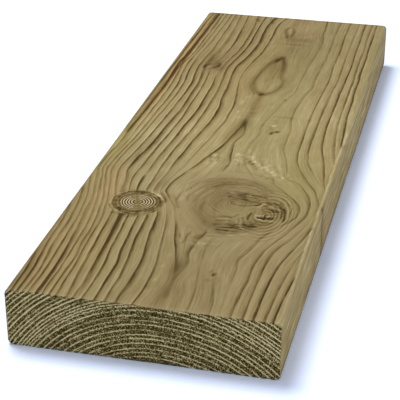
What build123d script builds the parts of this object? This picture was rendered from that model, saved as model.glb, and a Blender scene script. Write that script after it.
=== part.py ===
from build123d import *
import os

# A softwood plank, sawn square at both ends, with its four long edges eased.
# One knot in the upper face has dried open and left a short split.
# The plank lies flat on its wide face: X runs across its width, Y along its length
# from the near end to the far end, and Z up through its thickness.
# The origin is in the middle of the underside.

# Section and length of the plank, in millimetres
PLANK_WIDTH = 195
PLANK_THICKNESS = 45
PLANK_LENGTH = 610
EASED_EDGE_RADIUS = 4

# Where the split knot is, measured from the right edge and from the near end,
# and how far the split is turned from square across the plank, in degrees
SPLIT_FROM_RIGHT_EDGE = 41
SPLIT_FROM_NEAR_END = 145.5
SPLIT_TURN = 7

# The split itself: a lens-shaped mouth that narrows to a shorter, thinner floor
SPLIT_MOUTH_LENGTH = 11.5
SPLIT_MOUTH_WIDTH = 3.2
SPLIT_FLOOR_LENGTH = 7
SPLIT_FLOOR_WIDTH = 0.9
SPLIT_DEPTH = 6


def split_plane(height):
    """A level plane at the given height, centred on the split and turned along it."""
    across = PLANK_WIDTH / 2 - SPLIT_FROM_RIGHT_EDGE
    along = SPLIT_FROM_NEAR_END - PLANK_LENGTH / 2
    return Plane((across, along, height)).rotated((0, 0, SPLIT_TURN))


near_end = Plane(
    origin=(0, -PLANK_LENGTH / 2, PLANK_THICKNESS / 2),
    x_dir=(1, 0, 0),
    z_dir=(0, -1, 0),
)

with BuildPart() as plank:
    # The eased section, drawn on the near end and run back along the length
    with BuildSketch(near_end):
        RectangleRounded(PLANK_WIDTH, PLANK_THICKNESS, EASED_EDGE_RADIUS)
    extrude(amount=-PLANK_LENGTH)

    # The open split, tapering down from the upper face
    mouth = (PLANK_THICKNESS, SPLIT_MOUTH_LENGTH, SPLIT_MOUTH_WIDTH)
    floor = (PLANK_THICKNESS - SPLIT_DEPTH, SPLIT_FLOOR_LENGTH, SPLIT_FLOOR_WIDTH)
    for height, length, width in (mouth, floor):
        with BuildSketch(split_plane(height)):
            with BuildLine():
                ThreePointArc((-length / 2, 0), (0, width / 2), (length / 2, 0))
                ThreePointArc((length / 2, 0), (0, -width / 2), (-length / 2, 0))
            make_face()
    loft(mode=Mode.SUBTRACT)

plank.part.label = "plank"

os.makedirs("parts", exist_ok=True)
export_step(plank.part, "parts/plank.step")
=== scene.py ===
import math

import bmesh
import bpy
import numpy as np
from mathutils import Euler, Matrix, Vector, noise


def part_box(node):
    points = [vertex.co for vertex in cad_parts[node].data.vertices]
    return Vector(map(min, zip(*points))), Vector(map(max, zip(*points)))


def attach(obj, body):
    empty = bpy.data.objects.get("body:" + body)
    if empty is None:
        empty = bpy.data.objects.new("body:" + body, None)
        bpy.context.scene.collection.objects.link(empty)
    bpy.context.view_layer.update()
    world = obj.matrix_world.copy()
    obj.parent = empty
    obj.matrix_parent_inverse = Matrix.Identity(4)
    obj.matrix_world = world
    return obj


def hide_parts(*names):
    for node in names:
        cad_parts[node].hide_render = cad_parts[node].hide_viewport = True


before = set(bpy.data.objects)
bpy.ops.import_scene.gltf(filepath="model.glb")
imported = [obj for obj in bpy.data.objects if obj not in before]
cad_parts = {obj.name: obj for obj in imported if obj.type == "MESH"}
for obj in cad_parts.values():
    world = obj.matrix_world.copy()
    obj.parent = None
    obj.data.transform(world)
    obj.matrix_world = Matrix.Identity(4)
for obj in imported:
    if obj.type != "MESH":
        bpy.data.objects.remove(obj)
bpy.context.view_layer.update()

MM = 0.001
low_corner, high_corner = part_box("plank")
WIDTH, LENGTH, THICKNESS = ((high_corner - low_corner) / MM)[:]
EASED_EDGE_RADIUS = 4.0
ARRIS_WEAR = 0.5

# How finely the blank is divided
EDGE_STEPS = 3
COLUMN_STEP = 1.25
LAYER_STEP = 2.3
ROW_STEP = 4.1
KNOT_ROW_STEP = 2.2
KNOT_ROWS = (98.0, 214.0)
END_ROWS = (0.0, ARRIS_WEAR, 2.0)
FIRST_PLAIN_ROW = 4.0
# Faces that meet at less than this angle are shaded as one
SMOOTH_ANGLE = math.radians(38)

# The tree: its pith ran below the board, and its rings are arcs about that line
PITH_BELOW_LEFT = 66.0
PITH_BELOW_RIGHT = 95.0
PITH_BELOW_KNOTS = 80.0
RING_GAP_BELOW_CROWN = 3.7
LEAST_LINE_GAP = 0.02
# One more ring lies this far beyond the outermost line of each side
BEYOND_LINES = 60.0
FARTHEST_LEFT_RING = 27
FARTHEST_RIGHT_RING = 18.6
# The usual ring number at the crown, between the arms of the innermost arch
MIDDLE_CROWN_RING = -0.4
# Where the pith lies across the board: (along, across)
PITH_ACROSS = [
    (0, 106), (80, 105), (150, 98), (220, 97), (300, 102), (610, 103),
]

# Where the dark line of a growth ring runs along the upper face: (along, across).
# Ring numbers grow outwards from the crown of the arches, to the left and to the right.
LEFT_LINES = {
    14: [(0, 9.5), (25, 9.7), (50, 8), (75, 5.8), (100, 5.6), (120, 4), (150, 0), (175, -5), (205, -12),
        (300, -8), (610, -6)],
    13: [(0, 13.5), (25, 14.3), (50, 13), (75, 10.7), (100, 10.4), (120, 9), (150, 5.5), (175, 0),
        (205, -7), (300, -3), (610, 0)],
    12: [(0, 17.6), (25, 18.2), (50, 17.5), (75, 16.8), (100, 15.4), (120, 14.3), (150, 10.5), (175, 5),
        (205, -1.5), (250, 1), (300, 2.5), (400, 3.2), (500, 4.4), (550, 5.4), (610, 7)],
    11: [(0, 23.3), (25, 23.8), (50, 23.5), (75, 22), (100, 20), (120, 18), (150, 15), (175, 9.5),
        (190, 6.5), (205, 3.4), (225, 3.6), (250, 6), (300, 7), (325, 7.9), (350, 8.2), (375, 9.2),
        (400, 8.7), (425, 7.9), (450, 7.3), (475, 9.2), (500, 10), (550, 11.4), (610, 13)],
    10: [(0, 27.8), (25, 27.8), (50, 27.5), (75, 26.8), (100, 26), (120, 24), (150, 19.5), (175, 13.9),
        (190, 10.5), (205, 7), (225, 7.5), (250, 10.7), (275, 12), (300, 12.5), (325, 13.6), (375, 14.6),
        (400, 14.3), (425, 13.4), (450, 12), (475, 14.6), (500, 16), (550, 16.8), (610, 17.2)],
    9: [(0, 32.4), (25, 32.5), (50, 33), (75, 31.4), (100, 30.5), (120, 28.5), (150, 24), (175, 17.8),
        (190, 14), (205, 11), (225, 11.8), (250, 14.3), (275, 16.8), (300, 17.5), (325, 18.6),
        (375, 20.4), (400, 20), (425, 17.6), (450, 16.4), (475, 17.5), (500, 19.4), (550, 20.8),
        (610, 21.4)],
    8: [(0, 37.6), (25, 37), (50, 36.5), (75, 35), (100, 34), (120, 32.6), (135, 30.5), (150, 27.8),
        (175, 21.8), (190, 18), (205, 15.5), (225, 15.8), (250, 17.9), (275, 20.4), (300, 21.8),
        (350, 24.6), (375, 25.4), (400, 25.2), (425, 22.9), (450, 21.8), (475, 22.2), (500, 23.8),
        (550, 25.8), (610, 27)],
    7: [(0, 44.8), (10, 44.6), (25, 43.6), (50, 42), (75, 40.7), (100, 39.6), (120, 38.6), (135, 37),
        (150, 33), (165, 29.5), (175, 26.8), (190, 23.5), (205, 21.4), (225, 22.9), (250, 25.2),
        (275, 27.5), (300, 28.9), (350, 31.4), (400, 32.5), (425, 30), (450, 28.9), (475, 30),
        (500, 31.8), (575, 32.1), (610, 32)],
    6: [(0, 49.8), (25, 50.6), (50, 49.4), (75, 48.6), (100, 47.5), (120, 45.8), (135, 44), (150, 39),
        (165, 34.6), (175, 33.2), (190, 31.4), (205, 28.4), (225, 29.5), (250, 32.8), (275, 34.5),
        (300, 35.8), (325, 37.5), (350, 38.8), (400, 38.6), (425, 36.4), (450, 34.4), (475, 36.2),
        (500, 38.2), (525, 39.3), (550, 39.3), (610, 37.8)],
    5: [(0, 56), (25, 56.6), (50, 56.4), (75, 54.3), (100, 53.2), (120, 52), (135, 51), (150, 46),
        (165, 41), (175, 38.9), (190, 36.9), (205, 37.4), (225, 38.6), (250, 40), (275, 41.8),
        (300, 43.2), (325, 44.3), (400, 44.6), (425, 42.9), (450, 42), (475, 45), (500, 47.9),
        (525, 48.6), (550, 47.9), (610, 46.2)],
    4: [(0, 64.3), (25, 64.6), (50, 64.6), (75, 62), (100, 60.7), (120, 59.6), (135, 58), (150, 52),
        (165, 47.4), (175, 45.4), (190, 44.6), (205, 45.7), (225, 46.1), (250, 47.5), (275, 49.6),
        (300, 51), (325, 52.9), (350, 53.6), (400, 53.2), (425, 51.5), (450, 52), (475, 54.5),
        (500, 57.5), (525, 58.6), (550, 58.6), (610, 56.6)],
    3: [(0, 71.4), (25, 71.8), (50, 71.4), (75, 69), (100, 67.1), (120, 66.4), (135, 65), (150, 60),
        (165, 55), (175, 53.2), (190, 53.8), (225, 53.9), (250, 55), (275, 57.5), (300, 59.6),
        (325, 60.4), (350, 61), (400, 60.6), (425, 58.6), (450, 57.1), (475, 60), (500, 63.2),
        (525, 64.3), (575, 63.6), (610, 64.6)],
    2: [(0, 79), (10, 79), (25, 80.4), (50, 80.8), (75, 78.6), (100, 75.8), (120, 74), (135, 72.4),
        (150, 68), (165, 61.5), (175, 59.3), (190, 59.9), (205, 61.8), (225, 62.1), (250, 64.3),
        (275, 66.4), (300, 69.3), (325, 71.4), (350, 71.6), (375, 68.9), (400, 68.1), (425, 65.8),
        (450, 64.6), (475, 68.6), (500, 71.4), (525, 72.5), (575, 71.5), (600, 74), (610, 75.5)],
    1: [(0, 90.6), (25, 93), (50, 92.6), (75, 89.3), (100, 86), (120, 83), (150, 75.5), (165, 68),
        (175, 64.5), (190, 65.5), (205, 68), (225, 71.5), (250, 74.6), (275, 78.2), (300, 80.7),
        (325, 83.6), (350, 83.6), (375, 81.8), (400, 77.9), (425, 75.2), (450, 75.7), (475, 78.2),
        (500, 81.4), (550, 82.5), (575, 81.8), (600, 85), (610, 87)],
}
LEFT_ARM = [
    (0, 106), (40, 108.3), (50, 107.3), (60, 105.8), (70, 103.6), (80, 101), (90, 98), (100, 95),
    (112, 92.4), (125, 89), (150, 81), (165, 73), (175, 68.4), (190, 69.6), (205, 73.6), (215, 76.8),
    (225, 80.4), (240, 84.6), (250, 87.9), (262, 91.2), (275, 94), (285, 95.4), (300, 97.9), (310, 99.4),
    (320, 101), (388, 101), (402, 94), (420, 90), (440, 91), (480, 97), (492, 102), (545, 98), (560, 95),
    (576, 95), (590, 100), (610, 101),
]
CROWN = [
    (0, 109.5), (50, 109.5), (60, 109), (80, 106.5), (100, 103), (125, 98), (150, 92), (175, 84),
    (190, 84), (205, 88), (220, 92), (240, 96), (262, 97.5), (276, 98.5), (294, 101), (305, 102),
    (320, 102.5), (350, 104), (420, 103), (490, 104), (560, 99), (610, 102),
]
RIGHT_ARM = [
    (0, 113), (40, 110.2), (48, 112), (56, 114), (64, 114.2), (71, 113.2), (78, 111.4), (84, 111.5),
    (92, 112.3), (100, 113), (106, 114.7), (114, 116), (125, 115), (150, 108), (175, 102), (200, 102),
    (216, 104), (224, 105.4), (230, 106.6), (239, 107.4), (249, 105), (264, 103.5), (276, 102.3),
    (286, 104.3), (294, 106.6), (303, 106.2), (312, 104.5), (322, 103.4), (388, 107), (402, 115),
    (420, 117), (440, 112), (460, 113), (480, 109), (492, 106), (545, 103), (610, 103),
]
RIGHT_LINES = {
    1: [(0, 130), (15, 129.6), (30, 128.6), (40, 126.9), (55, 124.8), (65, 123.6), (80, 122.4),
        (90, 121.8), (97, 123), (110, 124), (150, 116), (220, 111), (300, 110.5), (390, 115), (402, 121),
        (420, 124), (480, 119), (610, 114)],
    2: [(0, 144.5), (15, 143.9), (25, 142.3), (35, 140.2), (45, 137.6), (60, 134.5), (80, 134),
        (100, 139), (115, 148), (125, 156), (135, 164), (145, 169.5), (155, 172.3), (165, 172),
        (175, 167.5), (185, 159), (195, 148), (205, 139), (215, 131), (225, 125.5), (238, 119.5),
        (252, 116.7), (260, 115.5), (268, 115.7), (281, 116.5), (294, 119.2), (303, 119.6), (314, 118.3),
        (333, 120.4), (364, 125), (376, 126.6), (387, 130), (400, 132.6), (443, 133.6), (474, 134),
        (511, 135.7), (539, 136.8), (552, 135.4), (568, 133.6), (590, 132.8), (610, 131.4)],
    3: [(0, 152), (36, 150.9), (65, 150), (76, 148.6), (82, 149.6), (88, 152), (102, 155.8),
        (113, 158.3), (125, 163.5), (137, 170.6), (143, 174), (150, 177), (156, 178.1), (162, 178.3),
        (168, 177.5), (174, 175.7), (180, 171.8), (186, 166.6), (196, 159.5), (201, 154.4), (207, 150),
        (216, 147.6), (223, 144.5), (240, 137), (270, 133), (300, 132), (360, 134), (440, 141),
        (560, 141), (610, 139)],
    4: [(0, 159.5), (34, 160), (51, 161), (74, 161.2), (84, 162.5), (94, 164.3), (102, 166.5),
        (110, 169.3), (119, 172.9), (128, 176.4), (136, 179.2), (146, 182), (152, 183.5), (161, 184.7),
        (171, 184.4), (181, 183.1), (189, 180.8), (196, 177.4), (203, 173.8), (208, 171), (213, 166.4),
        (216, 161.5), (220, 158.2), (230, 156.3), (243, 153.6), (256, 150.7), (264, 148), (277, 145.5),
        (291, 144.6), (314, 144.2), (330, 141.8), (343, 140.6), (357, 140.4), (371, 141.4), (400, 144.4),
        (413, 147), (443, 146.1), (474, 146.8), (510, 147.5), (542, 146.8), (565, 146.1), (610, 147)],
    5: [(0, 167.8), (34, 167.9), (68, 168.6), (82, 169.6), (94, 171.4), (104, 174.3), (112, 177.9),
        (119, 180.7), (128, 183.2), (136, 185.6), (148, 188.4), (160, 190), (175, 190.2), (181, 189.7),
        (190, 187.2), (200, 184.2), (210, 178.7), (219, 173.7), (229, 169.3), (239, 165), (251, 161.5),
        (267, 159.3), (281, 158.3), (300, 157.9), (325, 157.1), (357, 156.8), (400, 158), (420, 158.9),
        (443, 159.2), (466, 158.3), (496, 157.6), (516, 158.1), (542, 157.1), (565, 156.5),
        (610, 156.8)],
    6: [(0, 175.3), (26, 175.4), (48, 176.1), (62, 176.8), (75, 178.2), (88, 180.7), (99, 183.5),
        (112, 186.5), (122, 188.7), (134, 190.8), (142, 192.8), (152, 195), (170, 197), (190, 195),
        (205, 190), (215, 185), (229, 178), (236, 175.6), (247, 171.5), (260, 168.6), (271, 167.1),
        (283, 166.4), (300, 165.7), (350, 165.4), (400, 166.1), (443, 167.4), (474, 167.1), (496, 166.4),
        (557, 165.7), (610, 165.7)],
    7: [(0, 182.8), (26, 183.2), (48, 184.3), (65, 185.5), (79, 187.2), (91, 189.3), (99, 191.3),
        (112, 194.5), (150, 202), (190, 198), (204, 190.9), (214, 188.7), (227, 187.1), (243, 184.5),
        (260, 181.3), (276, 177.9), (289, 175.8), (301, 174.9), (336, 173.6), (400, 174), (443, 174.6),
        (466, 175), (489, 174.6), (512, 173.9), (557, 173.2), (580, 172.6), (610, 173)],
    8: [(0, 188.5), (26, 189.1), (45, 190.1), (58, 191.2), (71, 192.7), (85, 195.5), (150, 210),
        (205, 202), (230, 197.5), (249, 193.6), (257, 190.8), (271, 188.5), (289, 185.8), (307, 184.3),
        (329, 182.9), (371, 181.8), (443, 181.8), (466, 181.1), (496, 180.7), (519, 181), (542, 180.4),
        (565, 179.7), (610, 180)],
    9: [(0, 196), (71, 200), (150, 218), (220, 208), (250, 199), (277, 192.9), (294, 191.4),
        (311, 190.4), (329, 189.3), (343, 188.6), (364, 187.9), (400, 187.5), (420, 186.9), (443, 187.1),
        (462, 185.8), (496, 186.1), (519, 185.5), (565, 185), (610, 184.5)],
    10: [(0, 203), (150, 226), (260, 206), (300, 200), (350, 196), (460, 192.6), (610, 192.4)],
}
# Ring number at the arms of the innermost arch and at the crown between them: (along, ring)
ARM_RING = [
    (0, 0.12), (30, 0.08), (42, 0), (490, 0), (502, 0.08), (538, 0.08), (548, 0), (580, 0), (590, 0.1),
    (610, 0.12),
]
CROWN_RING = [
    (0, 0.1), (30, 0.05), (44, -0.01), (60, -0.08), (80, -0.25), (110, -0.5), (150, -0.7), (200, -0.7),
    (240, -0.5), (276, -0.25), (300, -0.12), (315, -0.03), (385, -0.03), (402, -0.2), (420, -0.33),
    (460, -0.25), (486, -0.03), (500, 0.05), (540, 0.05), (560, -0.06), (580, -0.02), (595, 0.05),
    (610, 0.08),
]
# How dark the line of each ring is: (along, darkness)
LEFT_DARKNESS = {
    0: [(46, 0), (58, 0.2), (74, 0.6), (90, 0.85), (115, 0.6), (130, 0.1), (160, 0.15), (172, 0.9),
        (208, 0.8), (214, 0.25), (222, 0.7), (260, 0.9), (300, 0.6), (318, 0.3), (326, 0)],
    1: [(0, 0.55), (60, 0.55), (110, 0.4), (140, 0.1), (240, 0.2), (270, 0.35), (310, 0.5), (360, 0.7),
        (400, 0.45), (440, 0.15), (470, 0.45), (510, 0.8), (580, 0.6)],
    2: [(0, 0.5), (60, 0.8), (110, 0.85), (135, 0.6), (150, 0), (165, 0), (175, 0.4), (200, 0.25),
        (215, 0.5), (240, 0.95), (300, 0.8), (340, 0.9), (400, 0.85), (430, 0.7), (470, 0.8), (540, 1)],
    3: [(0, 0.6), (60, 0.75), (100, 0.95), (128, 0.8), (150, 0), (168, 0.3), (180, 0.7), (205, 0.6),
        (240, 0.85), (280, 0.75), (400, 0.7), (430, 0.6), (470, 0.7), (510, 0.9), (550, 0.9),
        (610, 0.8)],
    4: [(0, 0.8), (50, 0.95), (128, 0.8), (150, 0), (168, 0.4), (176, 1), (192, 0.8), (200, 0.15),
        (215, 0.8), (240, 0.75), (300, 0.85), (350, 1), (400, 0.85), (430, 0.3), (460, 0.3), (500, 0.5),
        (540, 0.75), (580, 0.4)],
    5: [(0, 0.7), (50, 0.8), (128, 0.75), (150, 0), (168, 0.4), (180, 0.7), (200, 0.6), (240, 0.8),
        (300, 0.7), (400, 0.75), (430, 0.6), (440, 0.1), (470, 0.2), (520, 0.8), (550, 0.6), (610, 0.3)],
    6: [(0, 0.55), (50, 0.75), (80, 1), (128, 1), (150, 0), (168, 0.5), (190, 0.8), (205, 0.9), (230, 1),
        (300, 0.8), (400, 0.8), (440, 0.5), (480, 0.3), (520, 0.4), (560, 0.3), (610, 0.4)],
    7: [(0, 0.6), (60, 0.8), (100, 0.85), (135, 0.6), (150, 0.4), (175, 0.7), (200, 0.5), (225, 0.7),
        (300, 0.75), (400, 0.8), (440, 0.6), (480, 0.4), (540, 0.5)],
    8: [(0, 0.8), (60, 0.6), (135, 0.6), (175, 0.55), (200, 0.4), (250, 0.55), (330, 0.5), (375, 0.7),
        (400, 0.75), (430, 0.7), (470, 0.3), (560, 0.4)],
    9: [(0, 0.6), (100, 0.5), (175, 0.7), (205, 0.5), (250, 0.4), (330, 0.55), (400, 0.75), (450, 0.5),
        (500, 0.35)],
    10: [(0, 0.6), (100, 0.5), (175, 0.6), (190, 0.8), (220, 0.4), (300, 0.4), (400, 0.6), (450, 0.5)],
    11: [(0, 1), (40, 0.9), (80, 0.6), (120, 0.5), (175, 0.6), (205, 0.5), (300, 0.55), (330, 0.8),
        (610, 1)],
    12: [(0, 0.7), (60, 0.6), (100, 0.5), (175, 0.5), (300, 0.4), (610, 0.6)],
    14: [(0, 0.8), (40, 0.7), (60, 0.5)],
}
RIGHT_DARKNESS = {
    0: [(46, 0), (58, 0.15), (72, 0.35), (84, 0.6), (110, 0.8), (118, 0.3), (125, 0), (216, 0),
        (226, 0.8), (250, 1), (285, 0.5), (310, 0.4), (326, 0)],
    1: [(0, 0.3), (30, 0.3), (60, 0.2), (85, 0.3), (98, 0.2), (110, 0)],
    2: [(0, 0.35), (30, 0.35), (42, 0), (120, 0), (140, 0.4), (170, 0.4), (185, 0.15), (200, 0.1),
        (240, 0.3), (260, 0.35), (330, 0.3), (400, 0.2), (440, 0.35), (540, 0.4), (560, 0.55),
        (610, 0.6)],
    3: [(0, 0), (36, 0.1), (50, 0.3), (120, 0.3), (140, 0.5), (165, 0.6), (185, 0.4), (215, 0.3),
        (225, 0.05), (300, 0)],
    4: [(0, 0.5), (20, 0.7), (50, 0.6), (100, 0.5), (120, 0.45), (150, 0.55), (175, 0.65), (195, 0.5),
        (215, 0.55), (225, 0.3), (270, 0.45), (310, 0.25), (345, 0.45), (375, 0.5), (450, 0.45),
        (500, 0.35), (560, 0.5), (610, 0.65)],
    5: [(0, 0.7), (60, 0.75), (100, 0.5), (120, 0.25), (150, 0.15), (185, 0.3), (205, 0.45), (240, 0.5),
        (300, 0.7), (500, 0.65), (610, 0.5)],
    6: [(0, 1), (60, 1), (100, 0.75), (135, 0.6), (150, 0.3), (205, 0.1), (225, 0.1), (240, 0.5),
        (300, 0.85), (350, 0.8), (400, 0.7), (450, 0.5), (540, 0.35)],
    7: [(0, 0.6), (60, 0.5), (90, 0.3), (110, 0.2), (200, 0.3), (230, 0.6), (270, 0.7), (300, 1),
        (450, 1), (500, 0.85), (540, 0.65), (610, 0.8)],
    8: [(0, 0.9), (72, 1), (80, 0.3), (250, 0.2), (300, 0.5), (350, 0.6), (450, 0.7), (500, 0.5),
        (560, 0.45)],
    9: [(0, 0.3), (270, 0.5), (300, 1), (460, 1), (500, 0.9), (540, 0.85), (610, 0.8)],
    10: [(0, 0.3), (440, 0.3), (455, 0.7), (480, 0.4), (520, 0.5), (610, 0.7)],
}
# How far each line spreads inwards, from 0 for a fine line to 1 for a broad band
LEFT_BREADTH = {
    0: 0.4, 1: 0.1, 2: 0.6, 3: 0.35, 4: 0.35, 5: 0.2, 6: 0.65, 7: 0.4, 8: 0.2, 9: 0.2, 10: 0.2, 11: 0.5,
    12: 0.25, 14: 0.25,
}
RIGHT_BREADTH = {
    0: 0.3, 1: 0.0, 2: 0.2, 3: 0.5, 4: 0.3, 5: 0.25, 6: 0.25, 7: 0.25, 8: 0.2, 9: 0.2, 10: 0.2,
}
# Where neither table says
PLAIN_DARKNESS = 0.5
PLAIN_BREADTH = 0.3
# The lines on the right half of the board are fainter
RIGHT_FAINTER = 0.84

# Knots on the upper face: (x, y, half width, half length)
ROUND_KNOT = (52.4, 148.2, 21.8, 21.8)
BIG_KNOT = (154.5, 151.0, 14.0, 26.0)
SWIRL = (129.0, 164.0, 38.0, 53.0)
SMALL_KNOT = (44.0, 452.0, 9.0, 20.0)
# The middle of the round knot's own rings
ROUND_HEART = (53.2, 149.6)
# The open split of the big knot
SPLIT = (154.0, 145.5, 5.75, 1.6)
SPLIT_TURN = math.radians(7)
SPLIT_DEPTH = 5.0
# Ovals of the upper face where the blank is divided once more, and how far out in their own size
FINER_OVALS = [(ROUND_KNOT, 1.06), ((150.0, 150.0, 24.0, 40.0), 1.0), ((SPLIT[0], SPLIT[1], 8.0, 4.0), 1.0)]


def smooth_through(stations, at):
    """A smooth line through given stations, which never swings past one, read at the given places."""
    place, value = np.array(stations, float).T
    step = np.diff(value) / np.diff(place)
    before, after = np.append(step[0], step), np.append(step, step[-1])
    steepest = 3 * np.minimum(np.abs(before), np.abs(after))
    slope = np.where(before * after > 0, np.clip((before + after) / 2, -steepest, steepest), 0)
    left = np.clip(np.searchsorted(place, at) - 1, 0, len(place) - 2)
    gap = place[left + 1] - place[left]
    share = np.clip((at - place[left]) / gap, 0, 1)
    return bend_between(value[left], value[left + 1], slope[left], slope[left + 1], gap, share)


def bend_between(low, high, slope_low, slope_high, gap, t):
    """A cubic curve from low to high over a gap, with a slope at each end, read at t of the way."""
    rise = (high - low) * t * t * (3 - 2 * t)
    return low + rise + t * (1 - t) ** 2 * gap * slope_low - t * t * (1 - t) * gap * slope_high


def wander(points, sizes, seed=0.0):
    """Smooth random drift from -1 to 1, with one wave about every `sizes` millimetres."""
    scaled = points / np.array(sizes, float) + np.array((seed, seed * 1.7, seed * 0.6))
    return np.array([noise.noise(Vector(p)) for p in scaled])


def spot(x, y, centre_x, centre_y, half_width, half_length):
    """1 in the middle of a soft oval, falling to nothing outside it."""
    return np.exp(-(((x - centre_x) / half_width) ** 2) - ((y - centre_y) / half_length) ** 2)


def fade(value, start, end):
    """0 before start, 1 after end, and smooth between."""
    t = np.clip((value - start) / (end - start), 0, 1)
    return t * t * (3 - 2 * t)


def with_margins(across):
    """Adds one more line beyond the first and the last."""
    return np.array([across[0] - BEYOND_LINES, *across, across[-1] + BEYOND_LINES])


def numbers_of_lines(arm_ring, crown_ring):
    """The ring number of each line from left to right, with one more beyond each side."""
    arch = (arm_ring, crown_ring, arm_ring)
    return [FARTHEST_LEFT_RING, *LEFT_LINES, *arch, *RIGHT_LINES, FARTHEST_RIGHT_RING]


def rings_on_face(x, y):
    """For points of the upper face: ring number, place across the straightened grain, and calm ring."""
    arm_ring = smooth_through(ARM_RING, y)
    crown_ring = np.minimum(smooth_through(CROWN_RING, y), arm_ring)
    numbers = [np.broadcast_to(number, x.shape) for number in numbers_of_lines(arm_ring, crown_ring)]
    numbers = np.array(numbers, float)
    paths = [*LEFT_LINES.values(), LEFT_ARM, CROWN, RIGHT_ARM, *RIGHT_LINES.values()]
    across = with_margins([smooth_through(path, y) for path in paths])
    # No two lines cross or touch
    across = np.maximum.accumulate(across, axis=0) + np.arange(len(across))[:, None] * LEAST_LINE_GAP
    # How fast the number grows at each line: not at all where it turns back
    rise = np.diff(numbers, axis=0) / np.diff(across, axis=0)
    same_way = rise[:-1] * rise[1:] > 0
    middle = np.where(same_way, 2 * rise[:-1] * rise[1:] / np.where(same_way, rise[:-1] + rise[1:], 1), 0)
    slope = np.concatenate([rise[:1], middle, rise[-1:]])
    # Each point lies between a line on its left and one on its right
    left = np.clip((x >= across).sum(axis=0) - 1, 0, len(across) - 2)
    right = left + 1
    point = np.arange(len(x))
    gap = across[right, point] - across[left, point]
    t = (x - across[left, point]) / gap
    ends = [row[side, point] for row in (numbers, slope) for side in (left, right)]
    ring = bend_between(*ends, gap, t)
    # The calm board has each line straight, at its usual place
    usual = with_margins([smooth_through(path, np.linspace(0, LENGTH, 40)).mean() for path in paths])
    calm_ring = np.interp(x, usual, numbers_of_lines(0, MIDDLE_CROWN_RING))
    return ring, usual[left] + (usual[right] - usual[left]) * t, calm_ring


def line_strength(ring, x, y):
    """How dark the line of this ring is here, and how broad."""
    on_left = x < smooth_through(CROWN, y)
    nearest = np.clip(np.ceil(ring - 0.15), 0, max(LEFT_LINES))
    darkness = np.full(len(x), PLAIN_DARKNESS)
    breadth = np.full(len(x), PLAIN_BREADTH)
    for side, darknesses, breadths in (
        (on_left, LEFT_DARKNESS, LEFT_BREADTH),
        (~on_left, RIGHT_DARKNESS, RIGHT_BREADTH),
    ):
        for number, stations in darknesses.items():
            here = side & (nearest == number)
            darkness = np.where(here, np.interp(y, *zip(*stations)), darkness)
            breadth = np.where(here, breadths[number], breadth)
    return darkness * np.where(on_left, 1.0, RIGHT_FAINTER), breadth


def rings_at(x, y, z, calm):
    """Anywhere in the board: ring number, place across the grain, and where the ring meets the face."""
    pith_x = smooth_through(PITH_ACROSS, y)
    across = x - pith_x
    pith_below = np.where(across < 0, PITH_BELOW_LEFT, PITH_BELOW_RIGHT)
    height = z + pith_below
    crown_height = THICKNESS + pith_below
    outside = np.maximum(across**2 + height**2 - crown_height**2, 0)
    face_x = pith_x + np.sign(across) * np.sqrt(outside)
    ring, _, calm_ring = rings_on_face(face_x, y)
    ring = ring + (calm_ring - ring) * calm
    _, straight, _ = rings_on_face(x, y)
    straight = x + (straight - x) * height / crown_height
    under_crown = np.maximum(crown_height - np.hypot(across, height), 0) / RING_GAP_BELOW_CROWN
    uneven = 0.12 * np.sin(1.9 * under_crown) * fade(under_crown, 0, 1)
    return ring - under_crown - uneven, straight, face_x


def knot_reach(knot, x, y, z):
    """Distance from a knot's heart, where 1 is its rim. A knot is a cone that grows out from the pith."""
    knot_x, knot_y, half_width, half_length = knot
    pith_x = smooth_through(PITH_ACROSS, np.array([knot_y]))[0]
    share = (z + PITH_BELOW_KNOTS) / (THICKNESS + PITH_BELOW_KNOTS)
    from_heart = x - pith_x - (knot_x - pith_x) * share
    return np.hypot(from_heart / (half_width * share), (y - knot_y) / (half_length * share))


def steps_along(length, edge, edge_steps, step):
    """Places of the cuts along one side: a few close ones over each eased edge, even ones between."""
    inner = max(1, round((length - 2 * edge) / step))
    return np.concatenate([
        np.linspace(0, edge, edge_steps + 1)[:-1],
        np.linspace(edge, length - edge, inner + 1),
        np.linspace(length - edge, length, edge_steps + 1)[1:],
    ])


def rows_along():
    """Places of the cuts along the length: close at the sawn ends and at the knots."""
    first, last = KNOT_ROWS
    near = np.array(END_ROWS)
    far = LENGTH - near[::-1]
    parts = [near]
    plain_end = LENGTH - FIRST_PLAIN_ROW
    for start, end, step in (
        (FIRST_PLAIN_ROW, first, ROW_STEP),
        (first, last, KNOT_ROW_STEP),
        (last, plain_end, ROW_STEP),
    ):
        count = max(1, round((end - start) / step))
        parts.append(np.linspace(start, end, count + 1)[:-1])
    return np.concatenate([*parts, [plain_end], far])


def places(mesh):
    """The places of all corners of a mesh, one row each."""
    found = np.empty(len(mesh.verts) * 3)
    for index, vert in enumerate(mesh.verts):
        found[3 * index : 3 * index + 3] = vert.co
    return found.reshape(-1, 3)


def cut_blank():
    """One closed block, divided into columns, rows and layers, in board millimetres."""
    sides = (
        steps_along(WIDTH, EASED_EDGE_RADIUS, EDGE_STEPS, COLUMN_STEP),
        rows_along(),
        steps_along(THICKNESS, EASED_EDGE_RADIUS, EDGE_STEPS, LAYER_STEP),
    )
    blank = bmesh.new()
    bmesh.ops.create_cube(blank, size=1.0)
    for axis, cuts in enumerate(sides):
        along = [e for e in blank.edges if abs(e.verts[0].co[axis] - e.verts[1].co[axis]) > 1e-6]
        bmesh.ops.subdivide_edges(blank, edges=along, cuts=len(cuts) - 2, use_grid_fill=True)
    for vert in blank.verts:
        vert.co = [cuts[round((share + 0.5) * (len(cuts) - 1))] for share, cuts in zip(vert.co, sides)]
    return blank


def divide_where(blank, wanted):
    """Cuts in two each edge whose ends are both wanted."""
    edges = [e for e in blank.edges if all(wanted(v.co) for v in e.verts)]
    bmesh.ops.subdivide_edges(blank, edges=edges, cuts=1, use_grid_fill=True)


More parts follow.
